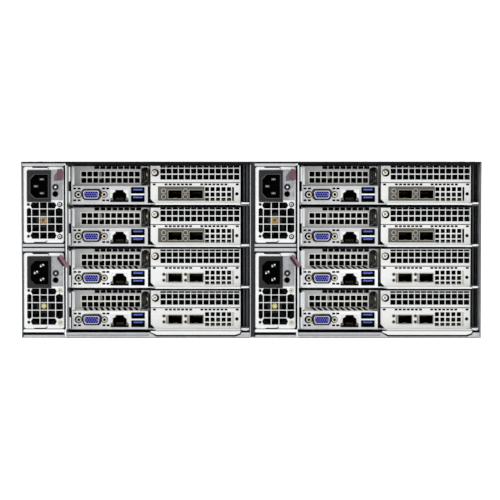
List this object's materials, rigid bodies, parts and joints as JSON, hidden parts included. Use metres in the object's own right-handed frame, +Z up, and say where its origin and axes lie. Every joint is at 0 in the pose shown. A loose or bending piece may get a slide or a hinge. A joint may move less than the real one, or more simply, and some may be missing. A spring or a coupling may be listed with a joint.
{
  "type": "multi-node rack server",
  "caption": "Rack server chassis holding stacked server sleds in two columns, with plug-in power supplies beside them and rear network, video and module ports.",
  "frame": {"origin": "centre of the bottom of the bounding box", "axes": "+Z up, -Y towards the rear face with the ports, +Y towards the rack front where the sleds pull out, +X to the right seen from the rear"},
  "size_m": [0.4826, 0.772, 0.172],
  "materials": {
    "zinc_steel": "galvanised sheet, satin",
    "nickel_steel": "bright plated sheet",
    "screw_steel": "plated",
    "black_paint": "fine textured paint",
    "circuit_board": "solder mask",
    "black_plastic": "moulded",
    "maroon_plastic": "moulded"
  },
  "bodies": {
    "chassis": {"chassis_base": "zinc_steel", "top_cover": "black_paint", "center_divider": "zinc_steel", "psu_bay_left": "zinc_steel", "psu_bay_right": "zinc_steel", "guide_rails": "zinc_steel", "power_board_left": "circuit_board", "power_board_right": "circuit_board", "rack_ear_left": "black_paint", "rack_ear_right": "black_paint", "cover_screws": "screw_steel", "ear_screws": "screw_steel"},
    "sled_a1": {"sled_a1_tray": "zinc_steel", "sled_a1_rear_io": "nickel_steel", "sled_a1_mainboard": "circuit_board"},
    "sled_a1_blower": {"sled_a1_blower": "black_plastic"},
    "sled_a2": {"sled_a2_tray": "zinc_steel", "sled_a2_rear_io": "nickel_steel", "sled_a2_mainboard": "circuit_board"},
    "sled_a2_blower": {"sled_a2_blower": "black_plastic"},
    "sled_a3": {"sled_a3_tray": "zinc_steel", "sled_a3_rear_io": "nickel_steel", "sled_a3_mainboard": "circuit_board"},
    "sled_a3_blower": {"sled_a3_blower": "black_plastic"},
    "sled_a4": {"sled_a4_tray": "zinc_steel", "sled_a4_rear_io": "nickel_steel", "sled_a4_mainboard": "circuit_board"},
    "sled_a4_blower": {"sled_a4_blower": "black_plastic"},
    "psu_a1": {"psu_a1_case": "nickel_steel", "psu_a1_inlet": "black_plastic"},
    "psu_a1_fan": {"psu_a1_fan": "black_plastic"},
    "psu_a1_latch": {"psu_a1_latch": "maroon_plastic"},
    "psu_a2": {"psu_a2_case": "nickel_steel", "psu_a2_inlet": "black_plastic"},
    "psu_a2_fan": {"psu_a2_fan": "black_plastic"},
    "psu_a2_latch": {"psu_a2_latch": "maroon_plastic"},
    "sled_b1": {"sled_b1_tray": "zinc_steel", "sled_b1_rear_io": "nickel_steel", "sled_b1_mainboard": "circuit_board"},
    "sled_b1_blower": {"sled_b1_blower": "black_plastic"},
    "sled_b2": {"sled_b2_tray": "zinc_steel", "sled_b2_rear_io": "nickel_steel", "sled_b2_mainboard": "circuit_board"},
    "sled_b2_blower": {"sled_b2_blower": "black_plastic"},
    "sled_b3": {"sled_b3_tray": "zinc_steel", "sled_b3_rear_io": "nickel_steel", "sled_b3_mainboard": "circuit_board"},
    "sled_b3_blower": {"sled_b3_blower": "black_plastic"},
    "sled_b4": {"sled_b4_tray": "zinc_steel", "sled_b4_rear_io": "nickel_steel", "sled_b4_mainboard": "circuit_board"},
    "sled_b4_blower": {"sled_b4_blower": "black_plastic"},
    "psu_b1": {"psu_b1_case": "nickel_steel", "psu_b1_inlet": "black_plastic"},
    "psu_b1_fan": {"psu_b1_fan": "black_plastic"},
    "psu_b1_latch": {"psu_b1_latch": "maroon_plastic"},
    "psu_b2": {"psu_b2_case": "nickel_steel", "psu_b2_inlet": "black_plastic"},
    "psu_b2_fan": {"psu_b2_fan": "black_plastic"},
    "psu_b2_latch": {"psu_b2_latch": "maroon_plastic"}
  },
  "joints": [
    {"name": "sled_a1_slide", "type": "slide", "parent": "chassis", "child": "sled_a1", "axis": [0, 1, 0], "range_m": [0, 0.72]},
    {"name": "sled_a1_blower_spin", "type": "hinge", "parent": "sled_a1", "child": "sled_a1_blower", "pos_m": [-0.112, 0.074, 0.1386], "axis": [0, 0, 1], "continuous": true},
    {"name": "sled_a2_slide", "type": "slide", "parent": "chassis", "child": "sled_a2", "axis": [0, 1, 0], "range_m": [0, 0.72]},
    {"name": "sled_a2_blower_spin", "type": "hinge", "parent": "sled_a2", "child": "sled_a2_blower", "pos_m": [-0.112, 0.074, 0.0976], "axis": [0, 0, 1], "continuous": true},
    {"name": "sled_a3_slide", "type": "slide", "parent": "chassis", "child": "sled_a3", "axis": [0, 1, 0], "range_m": [0, 0.72]},
    {"name": "sled_a3_blower_spin", "type": "hinge", "parent": "sled_a3", "child": "sled_a3_blower", "pos_m": [-0.112, 0.074, 0.0566], "axis": [0, 0, 1], "continuous": true},
    {"name": "sled_a4_slide", "type": "slide", "parent": "chassis", "child": "sled_a4", "axis": [0, 1, 0], "range_m": [0, 0.72]},
    {"name": "sled_a4_blower_spin", "type": "hinge", "parent": "sled_a4", "child": "sled_a4_blower", "pos_m": [-0.112, 0.074, 0.0156], "axis": [0, 0, 1], "continuous": true},
    {"name": "psu_a1_slide", "type": "slide", "parent": "chassis", "child": "psu_a1", "axis": [0, -1, 0], "range_m": [0, 0.34]},
    {"name": "psu_a1_fan_spin", "type": "hinge", "parent": "psu_a1", "child": "psu_a1_fan", "pos_m": [-0.2031, -0.361, 0.115], "axis": [0, 1, 0], "continuous": true},
    {"name": "psu_a1_latch_swing", "type": "hinge", "parent": "psu_a1", "child": "psu_a1_latch", "pos_m": [-0.1858, -0.378, 0.1624], "axis": [0, -1, 0], "range_deg": [0, 40]},
    {"name": "psu_a2_slide", "type": "slide", "parent": "chassis", "child": "psu_a2", "axis": [0, -1, 0], "range_m": [0, 0.34]},
    {"name": "psu_a2_fan_spin", "type": "hinge", "parent": "psu_a2", "child": "psu_a2_fan", "pos_m": [-0.2031, -0.361, 0.0309], "axis": [0, 1, 0], "continuous": true},
    {"name": "psu_a2_latch_swing", "type": "hinge", "parent": "psu_a2", "child": "psu_a2_latch", "pos_m": [-0.1858, -0.378, 0.0783], "axis": [0, -1, 0], "range_deg": [-35, 5]},
    {"name": "sled_b1_slide", "type": "slide", "parent": "chassis", "child": "sled_b1", "axis": [0, 1, 0], "range_m": [0, 0.72]},
    {"name": "sled_b1_blower_spin", "type": "hinge", "parent": "sled_b1", "child": "sled_b1_blower", "pos_m": [0.114, 0.074, 0.1386], "axis": [0, 0, 1], "continuous": true},
    {"name": "sled_b2_slide", "type": "slide", "parent": "chassis", "child": "sled_b2", "axis": [0, 1, 0], "range_m": [0, 0.72]},
    {"name": "sled_b2_blower_spin", "type": "hinge", "parent": "sled_b2", "child": "sled_b2_blower", "pos_m": [0.114, 0.074, 0.0976], "axis": [0, 0, 1], "continuous": true},
    {"name": "sled_b3_slide", "type": "slide", "parent": "chassis", "child": "sled_b3", "axis": [0, 1, 0], "range_m": [0, 0.72]},
    {"name": "sled_b3_blower_spin", "type": "hinge", "parent": "sled_b3", "child": "sled_b3_blower", "pos_m": [0.114, 0.074, 0.0566], "axis": [0, 0, 1], "continuous": true},
    {"name": "sled_b4_slide", "type": "slide", "parent": "chassis", "child": "sled_b4", "axis": [0, 1, 0], "range_m": [0, 0.72]},
    {"name": "sled_b4_blower_spin", "type": "hinge", "parent": "sled_b4", "child": "sled_b4_blower", "pos_m": [0.114, 0.074, 0.0156], "axis": [0, 0, 1], "continuous": true},
    {"name": "psu_b1_slide", "type": "slide", "parent": "chassis", "child": "psu_b1", "axis": [0, -1, 0], "range_m": [0, 0.34]},
    {"name": "psu_b1_fan_spin", "type": "hinge", "parent": "psu_b1", "child": "psu_b1_fan", "pos_m": [0.0229, -0.361, 0.115], "axis": [0, 1, 0], "continuous": true},
    {"name": "psu_b1_latch_swing", "type": "hinge", "parent": "psu_b1", "child": "psu_b1_latch", "pos_m": [0.0402, -0.378, 0.1624], "axis": [0, -1, 0], "range_deg": [0, 40]},
    {"name": "psu_b2_slide", "type": "slide", "parent": "chassis", "child": "psu_b2", "axis": [0, -1, 0], "range_m": [0, 0.34]},
    {"name": "psu_b2_fan_spin", "type": "hinge", "parent": "psu_b2", "child": "psu_b2_fan", "pos_m": [0.0229, -0.361, 0.0309], "axis": [0, 1, 0], "continuous": true},
    {"name": "psu_b2_latch_swing", "type": "hinge", "parent": "psu_b2", "child": "psu_b2_latch", "pos_m": [0.0402, -0.378, 0.0783], "axis": [0, -1, 0], "range_deg": [-35, 5]}
  ]
}
